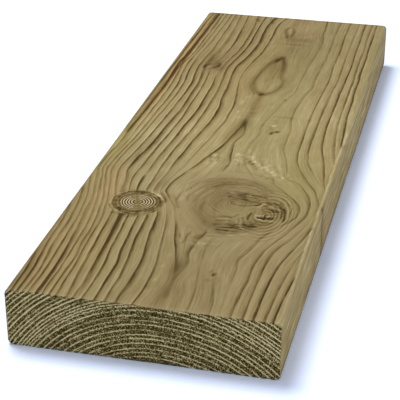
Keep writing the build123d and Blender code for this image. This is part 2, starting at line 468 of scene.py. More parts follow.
def on_top_near(oval, reach):
    """A test for points of the upper face inside an oval."""
    middle_x, middle_y, half_width, half_length = oval

    def wanted(at):
        inside = math.hypot((at.x - middle_x) / half_width, (at.y - middle_y) / half_length) < reach
        return inside and at.z > THICKNESS - 0.01

    return wanted


def ease_long_edges(at):
    """Rounds the four long edges: the square corner of the section becomes a quarter circle."""
    eased = at.copy()
    radius = EASED_EDGE_RADIUS
    centre_x = np.clip(at[:, 0], radius, WIDTH - radius)
    centre_z = np.clip(at[:, 2], radius, THICKNESS - radius)
    a = (at[:, 0] - centre_x) / radius
    b = (at[:, 2] - centre_z) / radius
    eased[:, 0] = centre_x + radius * a * np.sqrt(1 - b * b / 2)
    eased[:, 2] = centre_z + radius * b * np.sqrt(1 - a * a / 2)
    return eased


def worn_arris(at, eased):
    """Takes the sharp corner off the two sawn ends."""
    on_end = np.isin(at[:, 1], (0, LENGTH))
    on_side = np.isin(at[:, 0], (0, WIDTH)) | np.isin(at[:, 2], (0, THICKNESS))
    corner = on_end & on_side
    centre = np.array((WIDTH / 2, 0, THICKNESS / 2))
    flat = (eased - centre) * (1, 0, 1)
    shrink = 1 - ARRIS_WEAR / np.maximum(np.abs(flat).max(axis=1), 1)
    eased[corner, 0] = centre[0] + flat[corner, 0] * shrink[corner]
    eased[corner, 2] = centre[2] + flat[corner, 2] * shrink[corner]
    return eased


# Marks on the upper face, each a soft oval: (x, y, half width, half length, how much darker)
STAINS = [
    (46.6, 112, 2.0, 15, 0.42), (48.6, 76, 1.8, 26, 0.22), (33.5, 258, 2.0, 22, 0.30),
    (29, 228, 1.6, 14, 0.35), (64.5, 186, 3.0, 10, 0.16), (61, 198, 4.0, 6, 0.08),
    (24, 32, 1.6, 36, 0.22), (9, 22, 1.8, 26, 0.26), (80.6, 62, 1.4, 40, 0.10),
    (36.8, 300, 1.6, 30, 0.16), (93.6, 280, 3.0, 26, 0.16), (97.6, 298, 3.2, 18, 0.14),
    (102, 314, 4.4, 14, 0.22), (103, 466, 8, 26, 0.16), (102, 484, 4, 8, 0.16), (103, 391, 9, 4, 0.16),
    (105, 418, 7, 15, -0.09), (129, 310, 1.6, 6, 0.10), (138, 48, 1.6, 3.4, 0.12),
    (124, 240, 8, 1.8, 0.22), (35, 449, 2.0, 4, 0.20), (47, 452, 2.4, 6, 0.16), (44, 450, 10, 20, 0.18),
    (40, 470, 7, 14, 0.12), (103, 94, 1.3, 2.4, 0.25), (127, 380, 1.5, 2.2, 0.22),
    (101, 589, 3.0, 7, 0.16), (73, 160, 6, 7, 0.14), (110, 20, 9, 26, 0.10), (108, 64, 4.2, 15, 0.12),
    (112, 196, 22, 14, 0.08), (122, 199, 26, 8, 0.07), (133, 187, 14, 5, 0.05), (108, 158, 19, 42, 0.12),
    (80, 545, 10, 60, 0.05), (53, 545, 7, 70, 0.10), (104, 430, 9, 34, 0.03), (104, 470, 50, 120, 0.11),
    (125, 300, 22, 40, 0.03), (30, 470, 26, 110, 0.04), (97, 1, 200, 1.6, -0.10),
    (131, 178, 14, 9, 0.05), (128, 404, 5, 60, 0.04), (95, 20, 1.6, 3, -0.16), (98, 37, 1.5, 3, -0.18),
    (98.4, 74, 1.3, 3, -0.12), (98, 57, 1.4, 2.5, -0.16), (89.6, 326, 1.4, 3, -0.14),
    (91, 345, 1.5, 3.5, -0.18), (90, 368, 1.5, 4, -0.18), (92, 380, 1.4, 3, -0.16),
    (92, 477, 1.4, 4, -0.16), (93, 498, 1.3, 3, -0.16), (93, 537, 1.3, 4, -0.12),
    (112, 578, 11, 20, -0.10), (64, 164, 4.0, 2.0, -0.22), (133, 177, 15, 7.5, 0.14),
    (131, 123, 13, 9, 0.16), (144, 131, 6, 3.0, 0.10), (165, 151, 3.0, 5, 0.10),
    (129, 152, 9, 11, -0.04), (108.6, 55, 3.8, 12, 0.26), (109, 22, 4.0, 22, 0.08),
    (141, 20, 3.0, 16, 0.06), (160, 50, 30, 60, 0.04), (2, 12, 2.5, 14, 0.25),
    # The next two rows also darken the upper face along its left arris and along its far end's edge
    (5.5, 240, 2.5, 60, -0.04), (0.5, 305, 1.9, 400, 0.34), (3, 110, 4, 110, 0.10),
    (97, 609.5, 200, 2.0, 0.30), (100, 302, 5, 20, 0.16), (104, 316, 6, 11, 0.08),
    (45, 454, 10, 15, 0.08), (38, 476, 5, 16, 0.10), (103, 610, 8, 16, 0.12), (109, 178, 9, 40, 0.04),
    (112, 545, 22, 60, 0.14), (125, 50, 26, 60, 0.08), (103, 425, 9, 40, 0.06),
]
# Warm and green patches of the upper face: (x, y, half width, half length, red, green, blue)
PATCHES = [
    (150, 60, 50, 70, 0.985, 0.985, 1.04), (18, 45, 30, 60, 1.03, 0.975, 0.94),
    (100, 1, 100, 2, 1.02, 0.985, 1.04), (6, 240, 7, 60, 0.98, 1.03, 0.84),
    (115, 300, 60, 90, 1.00, 1.015, 0.96), (115, 480, 70, 120, 0.99, 1.005, 0.99),
    (112, 580, 14, 26, 1.04, 0.975, 1.03), (112, 172, 27, 44, 1.005, 0.985, 1.07),
    (24, 175, 10, 30, 1.06, 0.97, 0.96), (10, 480, 4, 150, 1.10, 0.90, 0.72),
    (44, 455, 12, 24, 0.99, 0.985, 1.07), (60, 420, 60, 110, 1.02, 1.0, 0.98),
    (101, 592, 3, 9, 1.05, 0.97, 0.94), (130, 152, 12, 14, 0.99, 1.02, 0.94),
    (170, 220, 25, 60, 0.99, 1.02, 0.92),
]
# Fine dark or pale lines on the upper face, some of them painted light and shade: (how much darker, half
# width, the places they run through)
STROKES = [
    # The big knot's heart: its rim, the wood round its split, bark specks, and painted shade and highlights
    # at the split
    (0.50, 0.8, [(142.6, 152), (141.6, 148), (141.8, 143.5), (142.8, 140.6)]),
    (0.20, 0.7, [(144.6, 147), (145.6, 143), (149, 139.8)]),
    (0.52, 0.9, [(166.6, 163.5), (168, 157), (169, 150), (168.4, 143.8)]),
    (0.26, 0.6, [(164.4, 161), (166.3, 154), (166.6, 148)]),
    (0.20, 0.6, [(162.5, 172), (165.2, 166.5), (166.8, 162)]),
    (0.24, 0.7, [(151.5, 169.6), (156, 171.6), (160, 170.4)]),
    (0.44, 0.9, [(157.4, 159.2), (160.6, 158.2), (163.2, 159)]),
    (0.22, 0.7, [(153, 161.5), (156.4, 160.4)]),
    (0.30, 0.7, [(160, 166), (162.6, 165)]),
    (0.18, 0.8, [(149, 164), (150, 158), (153, 153.6)]),
    (0.36, 0.9, [(143.6, 165.4), (146.4, 167.4)]),
    # The split: painted shade in it, and painted highlights on its lips
    (0.85, 1.1, [(149, 145), (154, 145.2), (160, 146.6)]),
    (0.60, 0.7, [(153.8, 142.8), (154, 146), (153.6, 150)]),
    (-0.36, 0.8, [(146.8, 149), (149, 147.6), (151.6, 149.2), (158, 149.6)]),
    (-0.24, 0.7, [(146.6, 146.4), (148, 143.6), (151, 142.2)]),
    (-0.36, 0.7, [(149.4, 142.4), (155, 140.9), (160.6, 142.2)]),
    (0.30, 0.8, [(149.6, 139.2), (155.6, 138), (161.6, 139)]),
    # A soft painted shadow below the split
    (0.12, 2.0, [(146, 135.5), (152, 134.5), (159, 135)]),
    (-0.20, 1.0, [(143.5, 169), (148, 174.5), (155, 176), (160, 173.5)]),
    (-0.22, 1.3, [(141.5, 163), (147, 163.6), (150, 167)]),
    (-0.20, 0.7, [(170.4, 170), (172, 160), (171.6, 148)]),
    (-0.14, 0.7, [(166, 177), (170.6, 170), (174, 160)]),
    (0.16, 0.7, [(166.5, 174.5), (171.6, 166), (173.4, 156), (172.6, 145)]),
    (0.12, 0.7, [(160, 182), (168, 177.5), (174.4, 167), (176, 156)]),
    # Torn grain above the light middle of the swirl
    (0.14, 0.8, [(119.4, 184.4), (126, 184.8), (133, 183.4)]),
    (0.40, 0.9, [(132, 183), (138, 181.8), (143, 181.4), (149.4, 180.6)]),
    (0.16, 0.8, [(119, 178.6), (126, 178.4), (133, 178.8)]),
    (0.22, 0.9, [(119.6, 174.6), (127, 173.8), (134, 173.4)]),
    (0.34, 1.1, [(134, 172.8), (139, 171.4), (145.6, 170.8)]),
    (0.16, 0.9, [(123, 184.4), (127.6, 182.4), (131, 183.6)]),
    (0.18, 0.7, [(128, 179.6), (136, 178.9), (142, 177.8)]),
    (-0.20, 0.6, [(125, 178.6), (133, 177.6), (141, 175.6)]),
    (-0.20, 0.6, [(134, 180.2), (140, 179), (145, 177)]),
    (0.22, 0.6, [(134, 176.2), (141, 174.4), (145, 174.6)]),
    (-0.16, 0.7, [(128, 187.4), (136, 187), (143, 184.4)]),
    (-0.14, 0.7, [(113, 187.2), (121, 187.4), (127, 186.4)]),
    (0.32, 0.9, [(124, 165.4), (129, 162.6), (135, 162), (140, 163.8), (146, 167)]),
    (0.12, 3.0, [(122, 169), (139, 167.5)]),
    (0.14, 0.9, [(141, 187), (147, 184), (153, 183.4)]),
    (0.12, 0.9, [(128, 194.5), (138, 192), (147, 187.4)]),
    (0.22, 0.8, [(117.6, 181.6), (125, 181.8), (131, 181)]),
    (0.22, 0.8, [(120, 176.8), (127, 176.2), (133, 176.2)]),
    (-0.20, 0.6, [(119, 183), (128, 182.4)]),
    # Torn grain below it
    (0.26, 0.8, [(119, 142.6), (124, 142.2), (130, 140.6)]),
    (0.22, 0.8, [(119, 133.4), (126, 134), (133, 133.4)]),
    (0.26, 0.8, [(120, 127.4), (128, 127.6), (135, 128.4)]),
    (0.26, 0.8, [(121, 117), (127, 117), (132, 117.4)]),
    (-0.20, 0.6, [(120, 137), (127, 137.4)]),
    (0.26, 0.7, [(118.6, 138.8), (125.4, 140.6), (131.6, 143.2), (133.4, 147)]),
    (-0.20, 0.6, [(120.4, 138.2), (127.4, 139.2)]),
    (0.30, 0.8, [(120, 135.2), (125, 135.6), (131, 136.6)]),
    (-0.24, 0.6, [(121, 132.2), (128.6, 132.9)]),
    (0.32, 0.8, [(120, 129.4), (127, 129.9), (134, 130.4)]),
    (-0.24, 0.5, [(122, 127), (130, 127.7)]),
    (0.26, 1.0, [(119.4, 125.6), (124, 123.8), (129, 124.2)]),
    (0.22, 0.9, [(131, 125), (135, 126), (139.4, 125.4)]),
    (-0.20, 0.5, [(124, 121.6), (132, 122.3)]),
    (0.42, 0.9, [(122.8, 119.8), (126.6, 119), (130.8, 119.6)]),
    (0.16, 0.8, [(133, 121), (138, 122.4)]),
    (-0.20, 0.5, [(126, 117.2), (134, 118)]),
    (0.26, 0.8, [(124.4, 115.2), (130, 114.2), (133.6, 115)]),
    (0.40, 0.9, [(140, 133.6), (143.6, 131.8), (147, 131.6), (150.8, 130.8)]),
    (0.34, 1.0, [(140.4, 129.6), (145, 129.2), (149, 130.2)]),
    (0.30, 0.9, [(138, 142.6), (140, 137.4), (141.6, 132.8)]),
    (0.22, 0.8, [(135, 140), (136.4, 136), (135.4, 131.4)]),
    (0.20, 0.7, [(137, 127.4), (141, 124), (145, 121.6)]),
    (-0.20, 0.6, [(139, 127.6), (144, 124.6), (148, 122.6)]),
    (0.20, 0.6, [(142.4, 127), (147.4, 124)]),
    (-0.16, 0.9, [(133, 112.6), (140, 114.4), (146, 118)]),
    # The swirl's outer bends
    (0.30, 0.8, [(86.4, 147.8), (84, 151), (82, 157.6), (80.8, 164), (81.4, 171)]),
    (0.14, 0.8, [(81.4, 171), (84, 178), (88, 184)]),
    (-0.12, 1.0, [(84.4, 160), (84.2, 168), (86.8, 175)]),
    (0.12, 0.8, [(77, 179), (80, 188), (84.4, 193.4), (91, 195.6)]),
    (0.18, 0.8, [(90.8, 160), (89, 167), (88.4, 173)]),
    (0.14, 0.9, [(89, 163), (91, 177), (97, 189), (107, 198), (121, 203)]),
    (0.14, 0.9, [(95, 158), (96, 171), (102, 183), (112, 191)]),
    (0.14, 1.0, [(85, 178), (91, 193), (101, 204), (116, 210)]),
    (-0.26, 0.9, [(93.4, 174.6), (95.4, 179), (97.6, 184)]),
    (0.18, 1.0, [(118, 198), (121, 194)]),
    (0.18, 1.2, [(97, 195), (107, 204), (119, 208), (133, 206), (144, 199), (152, 190)]),
    (0.16, 1.0, [(104, 189), (113, 196.6), (126, 200), (138, 197.6), (147, 191)]),
    (-0.14, 0.9, [(108, 188.6), (117, 193.6), (128, 196), (138, 193.6)]),
    (0.14, 1.3, [(96, 178), (100, 186), (107, 192)]),
    (-0.10, 1.2, [(99, 168), (101, 177), (106, 184)]),
    (0.12, 1.4, [(112, 128), (106, 138), (103, 150), (104, 162)]),
    (0.10, 1.2, [(117, 138), (114, 148), (113.4, 160), (116, 170)]),
    (-0.16, 0.8, [(117.6, 200), (120, 196.6)]),
    # The round knot's rim, and the crack beside it
    (-0.46, 0.9, [(60, 168.4), (65, 165.6), (69, 161.6), (71.4, 157.6)]),
    (0.46, 0.8, [(66.4, 169.6), (70, 164.4), (73, 158.2), (74, 155.4)]),
    (-0.40, 0.8, [(31.4, 152), (32.6, 144), (36, 137), (42, 131), (50, 128.4)]),
    (0.24, 0.7, [(33.4, 151), (34.6, 144), (38, 138), (43.6, 133)]),
    (-0.24, 0.8, [(31.6, 155.4), (35.4, 158.6)]),
    (-0.20, 0.7, [(33.4, 160.4), (36.4, 163)]),
    (0.26, 0.8, [(37, 160), (41, 165), (47, 168)]),
    (0.24, 0.8, [(46, 134.6), (52, 132.6), (58, 134.4), (63, 138)]),
    (-0.16, 0.7, [(44, 136.6), (52, 134.8), (58, 136.6)]),
    (-0.18, 0.7, [(54, 128.6), (61, 131), (67, 135.4), (71.4, 141), (72.6, 147)]),
    (0.32, 1.0, [(38, 129), (44.6, 126.6), (52, 125), (57, 126.4)]),
    (0.14, 0.9, [(34, 163), (39, 168.6), (46, 171.2)]),
    # Small knot near the far end
    (0.34, 1.3, [(34.5, 445), (35.5, 452), (40, 457)]),
    (0.26, 1.5, [(45, 446), (49, 453), (47, 461)]),
    (0.20, 1.0, [(40, 440), (44, 446), (51, 443)]),
    (-0.12, 1.2, [(39, 448), (42, 453)]),
    # The drop-shaped loop, the stem below it, and the small loop near the far end
    (0.30, 2.6, [(103, 390), (98, 392.5), (94, 398), (91, 406), (89.4, 417), (89.4, 430),
        (91.2, 444), (93, 456), (95.4, 467), (98.4, 476), (102, 482)]),
    (0.28, 2.5, [(103, 390), (109, 392), (113.6, 398), (117, 406), (118.2, 417), (117, 428),
        (113.6, 436), (112.4, 446), (112.4, 457), (110.6, 469), (108.6, 480), (105.6, 491)]),
    (0.10, 3.2, [(103, 392), (92, 404), (91, 424), (93, 446)]),
    (0.20, 2.6, [(101.4, 481), (104.6, 488)]),
    (0.26, 3.6, [(101.6, 318), (103.4, 345)]),
    (0.10, 3.6, [(103, 345), (103, 354)]),
    (0.22, 3.4, [(103, 354), (103.4, 386)]),
    (0.10, 2.4, [(101, 322), (100.6, 334)]),
    (0.36, 1.7, [(95.6, 579), (93.4, 573), (94.4, 565), (97, 556), (99, 547)]),
    (0.30, 1.6, [(99, 580), (102, 574), (103, 564), (103, 552)]),
    (-0.16, 1.6, [(98.6, 576), (99.6, 562)]),
    (0.11, 3.4, [(104, 544), (124, 543.2)]),
    (-0.12, 1.5, [(111, 535), (118.6, 535)]),
    (0.10, 1.6, [(97, 529.4), (110, 528.6), (124, 529.2)]),
    (-0.14, 1.6, [(100, 523), (116, 522.6)]),
    (0.30, 2.0, [(56.6, 600), (58, 596), (61, 592.6)]),
    (0.24, 2.0, [(71.6, 604), (73.6, 597), (76, 591)]),
    (-0.14, 2.2, [(117, 553), (124, 559)]),
    (0.08, 1.8, [(125, 341), (135, 340)]),
    (0.12, 2.0, [(135.6, 340.6), (142.6, 340.2)]),
    (0.26, 1.0, [(119, 319.6), (119.8, 317.6)]),
    (0.22, 1.1, [(127, 381.6), (128, 378.6)]),
    (0.20, 1.0, [(116, 369.6), (116.8, 366.6)]),
    (-0.10, 1.6, [(92, 333), (112, 330)]),
    # The right arm of the near arch, and the soft tail below its point
    (0.14, 1.3, [(113.4, 108), (112.6, 102), (111.6, 92), (110.6, 84), (110.8, 78), (112, 72), (113.2, 66)]),
    (0.12, 1.4, [(113.2, 66), (113.2, 58), (112.4, 50), (110.6, 42)]),
    (0.12, 2.2, [(110.4, 42), (110.2, 30), (111, 17)]),
    (0.30, 0.8, [(97.6, 106), (98.6, 103), (99.6, 100.6)]),
    (0.34, 0.8, [(104.4, 110.6), (104, 105), (104.4, 97)]),
    # Short marks in the plain middle of the board
    (0.75, 1.2, [(128.4, 303.6), (130.8, 306.6), (135, 309)]),
    (0.16, 0.9, [(123.5, 305), (126, 311), (125, 322)]),
    (0.16, 0.9, [(136, 308), (134.5, 318), (130, 328)]),
    (0.70, 1.1, [(133.8, 55.8), (136, 53), (138.6, 50.8)]),
    (0.12, 1.6, [(140, 51), (141.6, 46), (139.6, 41)]),
    (0.14, 1.0, [(129, 48), (133, 44.5), (140, 46)]),
    (0.36, 1.1, [(119.4, 246), (123.6, 241.6), (127, 237), (131.4, 229)]),
    (0.26, 1.0, [(114.6, 237.6), (115.8, 232)]),
    (-0.24, 1.3, [(125, 245), (131, 237.6), (137, 233), (142, 228)]),
    (0.22, 1.1, [(137.6, 218), (143.4, 213.6)]),
    (-0.20, 1.2, [(147, 222), (152, 219.6), (157, 216)]),
    (0.26, 0.9, [(87, 252), (90, 244), (90.5, 238)]),
    (0.26, 0.9, [(93, 254), (96, 242), (96, 236)]),
    # The dark streak beside the left edge
    (0.46, 1.7, [(11.6, 612), (11.4, 520), (10.6, 450), (9.0, 390), (7.6, 330), (6.4, 280)]),
    (0.22, 1.6, [(5.0, 612), (4.4, 500), (3.4, 400)]),
    # The pale ragged line of the right arris, a painted highlight, with a dark line just inside it
    (-0.10, 0.8, [(192.6, 0), (193.2, 60)]),
    (-0.26, 0.7, [(193.2, 60), (192.2, 120), (193.0, 170), (192.4, 240), (193.2, 320)]),
    (0.16, 0.6, [(190.8, 70), (191.2, 120), (190.6, 190), (191.4, 250)]),
    # The rim of the big knot's heart, and bark in it
    (0.28, 0.7, [(144, 166), (148, 172), (154, 175.6), (160, 173), (164, 168), (166.8, 161)]),
    (0.38, 0.8, [(151.6, 171.8), (155, 169.4), (157.6, 171.6)]),
    (0.36, 0.8, [(158.6, 168.4), (161.4, 170.6)]),
    (0.40, 0.8, [(162.6, 166.8), (164.4, 163.6), (166, 165.4)]),
    (0.34, 0.9, [(149.6, 165.6), (153, 164.4)]),
    (0.46, 0.9, [(155, 160.4), (159, 161.4), (161.6, 158.6)]),
    (-0.26, 0.7, [(154.6, 166.6), (158.4, 164.8), (161.6, 163)]),
    (-0.24, 0.7, [(148.6, 169.4), (151, 168.4)]),
    (-0.16, 0.8, [(14.6, 600), (14.4, 500), (13.4, 420), (12, 350)]),
    (-0.16, 0.8, [(8.4, 600), (7.6, 500), (6.6, 420)]),
]
# The rings' slope is felt over this distance, and kept within these limits
PROBE_STEP = 0.4
SLOPE_LIMITS = (0.02, 0.7)
# The whole right side is a little greener
RIGHT_SIDE_TINT = (0.985, 1.0, 0.985)
# A dark crack that comes down the right side from the big knot: (along, up)
SIDE_CRACK = [(174, 45), (171, 30), (172, 10), (169, 0)]
# Ragged pale flakes and torn grain on the upper face: (x, y, half width, half length)
PALE_FLAKES = [
    (118, 250, 8, 11), (130, 241, 8, 8), (143, 229, 8, 7), (157, 218, 8, 5), (92, 245, 5, 12),
    (128, 322, 5, 12), (112, 250, 5, 10), (116, 98, 10, 8),
]
TORN_GRAIN = [(133, 177, 16, 7), (132, 123, 15, 10), (145, 132, 8, 6), (160, 154, 7, 8)]


def gather(points, ovals, amounts=None):
    """How strongly a set of soft ovals lies on each point."""
    x, y = points[:, 0], points[:, 1]
    amounts = amounts or [1] * len(ovals)
    return sum(spot(x, y, *oval[:4]) * amount for oval, amount in zip(ovals, amounts))


def stroke(x, y, half_width, path):
    """1 on a line through the given places, falling to nothing beside it."""
    reach = np.full(len(x), 99.0)
    for (start_x, start_y), (end_x, end_y) in zip(path, path[1:]):
        run_x, run_y = end_x - start_x, end_y - start_y
        share = np.clip(((x - start_x) * run_x + (y - start_y) * run_y) / (run_x**2 + run_y**2), 0, 1)
        reach = np.minimum(reach, np.hypot(x - start_x - share * run_x, y - start_y - share * run_y))
    return np.exp(-((reach / half_width) ** 2))


def strokes_at(at):
    """All strokes together, with slightly frayed paths."""
    fray = np.stack([wander(at, (5, 9, 5), 51.0), wander(at, (9, 5, 5), 52.0), at[:, 2] * 0], axis=1)
    x, y, _ = (at + fray * 0.7).T
    return sum(amount * stroke(x, y, half_width, path) for amount, half_width, path in STROKES)


def growth_at(at, normal, on_side):
    """Ring number, gap between rings, place across the grain, and where the ring meets the face."""
    x, y, z = at.T
    # The sides lie farther from the knots, so their rings bend less
    calm = 0.75 * on_side * fade(THICKNESS - z, 1, 14)
    ring, straight, face_x = rings_at(x, y, z, calm)
    steps = np.eye(3) * PROBE_STEP
    slope = np.stack([(rings_at(*(at + step).T, calm)[0] - ring) / PROBE_STEP for step in steps], axis=1)
    straight = straight + (x - straight) * on_side
    slope -= (slope * normal).sum(axis=1, keepdims=True) * normal
    gap = 1 / np.clip(np.linalg.norm(slope, axis=1), *SLOPE_LIMITS)
    wave = wander(at, (45, 130, 30), 3.0) * 0.10 + wander(at, (9, 34, 9), 8.0) * 0.035
    return ring + wave * np.minimum(1, 6 / gap), gap, straight, face_x


def shade_of(at, on_top, on_side, on_right, round_knot, big_knot, swirl):
    """How dark each point is before its rings and fibres are drawn: the wood's own tone, with painted light
    and shade on the upper face and the right side.
    """
    x, y, z = at.T
    shade = 0.33 + 0.05 * wander(at, (60, 160, 40), 21.0) + 0.05 * wander(at, (8, 60, 8), 22.0)
    # The upper face: paler half way along, painted light over its middle, then its stains and strokes
    shade -= 0.09 * np.exp(-(((y - 310) / 140) ** 2)) * on_top
    shade += gather(at, STAINS, [mark[4] for mark in STAINS]) * on_top + strokes_at(at) * on_top
    # The knots: a mottled rim and a dark core, and the swirl beside the big one
    mottle = 1 + 1.1 * wander(at, (4.5, 4.5, 4.5), 81.0)
    shade += 0.36 * mottle * (1 - fade(round_knot, 0.92, 1.02)) * fade(round_knot, 0.6, 0.72) * on_top
    shade += 0.24 * (1 - fade(round_knot, 0.62, 0.74))
    shade += 0.15 * (1 - on_top) * (1 - fade(round_knot, 0.9, 1.1))
    shade += 0.08 * (1 - fade(big_knot, 0.9, 1.05)) + 0.06 * np.exp(-(((big_knot - 1.0) / 0.10) ** 2))
    shade += 0.10 * (1 - fade(swirl, 0.75, 1.05)) * on_top
    # The right side: a dark band across it in line with the big knot, a darker far half, painted shade low
    # down and on its lower edge, painted light near its top, and the crack
    shade += 0.22 * spot(z * 0, y, 0, 174, 1, 11) * on_right
    shade += 0.04 * fade(y, 380, 560) * on_right + 0.02 * on_right
    # Painted shade over the lower part of the right side and its lower eased edge, and painted light near
    # its top
    shade += on_right * (0.16 * (1 - fade(z, 2, 14)) + 0.25 * (1 - fade(z, 0.5, 3)) - 0.08 * fade(z, 26, 40))
    on_edge = np.stack([x * 0, y, z], axis=1)
    side_streak = wander(on_edge, (9, 60, 1.7), 61.0) + 0.8 * wander(on_edge, (9, 22, 0.9), 62.0)
    shade += (0.14 + 0.16 * on_right) * side_streak * on_side
    return shade + on_right * 0.34 * stroke(y, z, 2.0, SIDE_CRACK)


def tint_of(at, on_top, on_right):
    """Warm, green and grey patches, as shares of red, green and blue."""
    x, y, _ = at.T
    tint = np.ones((len(at), 3))
    for *oval, red, green, blue in PATCHES:
        weight = (spot(x, y, *oval) * on_top)[:, None]
        tint = tint * (1 + weight * (np.array((red, green, blue)) - 1))
    tint = tint * (1 + on_right[:, None] * (np.array(RIGHT_SIDE_TINT) - 1))
    drift = wander(at, (50, 120, 30), 31.0)[:, None]
    return tint * (1 + drift * np.array((0.015, -0.008, -0.03)))


def lines_hidden(x, y, normal, on_top, round_knot, big_knot, swirl, small_knot, flakes):
    """Where ring lines don't show: at the knots, and partly at the edges, the sides and a rubbed patch."""
    return np.maximum.reduce([
        1 - fade(round_knot, 0.93, 1.06),
        1 - fade(big_knot, 0.95, 1.3),
        (1 - fade(swirl, 0.82, 1.05)) * on_top,
        (1 - fade(small_knot, 0.5, 1.0)) * 0.6,
        flakes * 0.55,
        0.9 * fade(np.abs(normal[:, 0]), 0.15, 0.6) - 0.4 * fade(-normal[:, 0], 0.6, 0.95),
        0.45 * spot(x, y, 17, 165, 24, 50) * on_top,
    ])


def rings_of_knots(x, y, on_top, lumpy, round_knot, big_knot):
    """The knots' own rings, how far they show, and the pale fibres at the heart of the round one."""
    near_round = round_knot < big_knot
    heart_x, heart_y = ROUND_HEART
    heart = np.hypot(x - heart_x, y - heart_y)
    turn = np.arctan2(y - heart_y, x - heart_x)
    knot_ring = np.where(near_round, heart + lumpy * 8, big_knot * BIG_KNOT[2])
    # The big knot shows them on its right
    big_show = (0.2 + 0.8 * fade(x, 146, 160)) * (1 - fade(big_knot, 1.2, 2.0))
    show = np.where(near_round, 0.8 * (1 - fade(round_knot, 0.9, 1.04)), big_show)
    core = (1 - fade(heart, 12.0, 14.0)) * on_top * near_round
    return knot_ring, show, core * np.abs(np.cos(turn - 0.35)) ** 1.1 * fade(heart, 2.5, 5.0)


def grain_of(at, normal):
    """Everything that the wood shows at each point: rings, knots, stains, painted light and shade, and their
    strengths.
    """
    x, y, z = at.T
    on_top = fade(normal[:, 2], 0.3, 0.9)
    on_side = fade(np.abs(normal[:, 0]), 0.6, 0.95)
    on_right = fade(normal[:, 0], 0.3, 0.9)
    lumpy = wander(at, (11, 11, 11), 12.0) * 0.05 + wander(at, (3.5, 3.5, 3.5), 13.0) * 0.025
    round_knot, big_knot, swirl, small_knot = (
        knot_reach(knot, x, y, z) + lumpy for knot in (ROUND_KNOT, BIG_KNOT, SWIRL, SMALL_KNOT)
    )
    ring, gap, straight, face_x = growth_at(at, normal, on_side)
    # Below the upper face the rings still have to part round each knot
    bend = 2.2 * np.exp(-((round_knot / 1.5) ** 2)) + 2.6 * np.exp(-((big_knot / 1.7) ** 2))
    bend += 0.8 * np.exp(-((small_knot / 1.4) ** 2))
    ring = ring + bend * (1 - on_top)
    flakes = gather(at, PALE_FLAKES) * on_top
    strength, breadth = line_strength(ring, face_x, y)
    strength = strength * (0.95 + 0.3 * wander(at, (20, 70, 12), 5.0))
    hidden = lines_hidden(x, y, normal, on_top, round_knot, big_knot, swirl, small_knot, flakes)
    knot_ring, knot_show, knot_spark = rings_of_knots(x, y, on_top, lumpy, round_knot, big_knot)
    # Fibres run round the swirl, not straight through it
    round_swirl = (1 - fade(swirl, 0.75, 1.15)) * on_top
    curl = SWIRL[2] * swirl + 6 * wander(at, (16, 16, 16), 71.0) + 2 * wander(at, (6, 6, 6), 72.0)
    straight = straight + (curl - straight) * round_swirl
    return {
        "ring": ring,
        "ring_gap": gap,
        "line_strength": strength * (1 - hidden),
        "line_breadth": breadth,
        "shade": shade_of(at, on_top, on_side, on_right, round_knot, big_knot, swirl),
        "tint": tint_of(at, on_top, on_right),
        "grain": np.stack([straight, y, z], axis=1),
        "knot_ring": knot_ring,
        "knot_show": knot_show,
        "knot_spark": knot_spark,
        "torn": np.clip(gather(at, TORN_GRAIN) * on_top, 0, 1),
        "flakes": np.clip(flakes, 0, 1),
    }


def relief(at, normal, wood):
    """How far below the planed face each point lies, in millimetres."""
    x, y, z = at.T
    on_top = fade(normal[:, 2], 0.3, 0.9)
    on_end = np.abs(normal[:, 1]) > 0.9
    # Raised latewood between the softer bands, and the plane's own unevenness
    ridge = 0.5 - 0.5 * np.cos(2 * np.pi * np.mod(wood["ring"], 1))
    depth = 0.18 * ridge * fade(wood["ring_gap"], 2.6, 5.0) * np.clip(wood["line_strength"], 0, 1)
    depth += 0.10 * np.maximum(wander(at, (70, 200, 30), 41.0) + 0.1, 0)
    depth += 0.10 * np.maximum(wander(at, (4, 30, 4), 42.0), 0)
    # Grooves round the two knots, torn grain, strokes and flakes
    depth += 0.35 * np.exp(-(((knot_reach(ROUND_KNOT, x, y, z) - 1.0) / 0.08) ** 2)) * on_top
    depth += 0.4 * np.exp(-(((knot_reach(BIG_KNOT, x, y, z) - 1.0) / 0.14) ** 2)) * on_top
    depth += wood["torn"] * on_top * (0.45 + 0.45 * wander(at, (9, 2.2, 5), 43.0))
    depth += 0.5 * np.clip(strokes_at(at), -0.2, 0.7) * on_top
    depth += wood["flakes"] * on_top * (0.15 + 0.15 * wander(at, (6, 5, 5), 44.0))
    # The open split of the big knot
    split_x, split_y, half_mouth, half_width = SPLIT
    turned_x = (x - split_x) * math.cos(SPLIT_TURN) + (y - split_y) * math.sin(SPLIT_TURN)
    turned_y = (y - split_y) * math.cos(SPLIT_TURN) - (x - split_x) * math.sin(SPLIT_TURN)
    mouth = np.hypot(turned_x / half_mouth, turned_y / half_width)
    depth += SPLIT_DEPTH * (1 - fade(mouth, 0.25, 1.05)) * on_top
    # Saw marks and torn fibres of the two ends
    saw = 0.05 * np.sin(x * 1.9 + 2 * wander(at, (30, 30, 30), 45.0)) + 0.05
    rough = 0.16 * np.maximum(wander(at, (2.6, 2.6, 2.6), 46.0), 0)
    depth = np.where(on_end, saw + rough + 0.08 * ridge, depth)
    return np.maximum(depth, 0)


def paint(mesh, name, values, domain="POINT"):
    """Stores one value for each point or face, for the finish to read."""
    kind, field = ("FLOAT", "value") if values.ndim == 1 else ("FLOAT_VECTOR", "vector")
    layer = mesh.attributes.new(name, kind, domain)
    layer.data.foreach_set(field, values.astype(np.float32).ravel())


